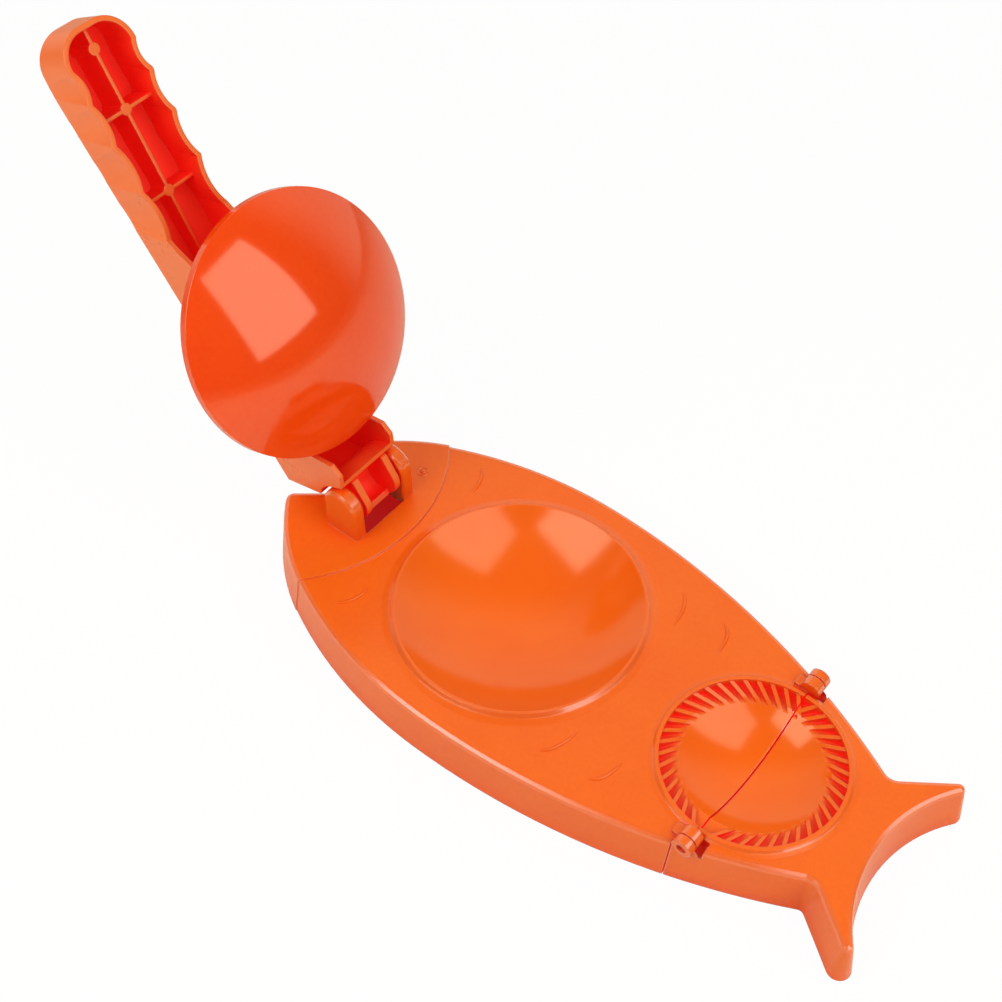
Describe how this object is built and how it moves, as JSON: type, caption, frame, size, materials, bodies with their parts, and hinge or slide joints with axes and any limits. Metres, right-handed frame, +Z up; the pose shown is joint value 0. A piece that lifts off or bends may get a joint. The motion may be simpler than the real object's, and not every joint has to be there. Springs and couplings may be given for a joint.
{
  "type": "dumpling press",
  "caption": "Fish-shaped plastic dumpling press with a round bowl, a hinged lever carrying a pressing dome, and a crimping mould folded by the hinged tail.",
  "frame": {"origin": "on the table, under the middle of the big bowl", "axes": "+X from the fish's head to its tail, +Y across the fish to its left, +Z up from the table"},
  "size_m": [0.3584, 0.1198, 0.1804],
  "materials": {
    "base_plastic": "orange moulded plastic, satin top with glossy bowls",
    "lever_plastic": "orange moulded plastic, glossy",
    "dome_plastic": "orange moulded plastic, polished"
  },
  "bodies": {
    "base": {"body_shell": "base_plastic"},
    "tail": {"tail_shell": "base_plastic"},
    "lever": {"press_lever": "lever_plastic", "press_dome": "dome_plastic"}
  },
  "joints": [
    {"name": "lever_hinge", "type": "hinge", "parent": "base", "child": "lever", "pos_m": [-0.0722, 0, 0.0298], "axis": [0, 1, 0], "range_deg": [-15, 116.3]},
    {"name": "tail_hinge", "type": "hinge", "parent": "base", "child": "tail", "pos_m": [0.0995, 0, 0.01935], "axis": [0, -1, 0], "range_deg": [0, 180]}
  ]
}
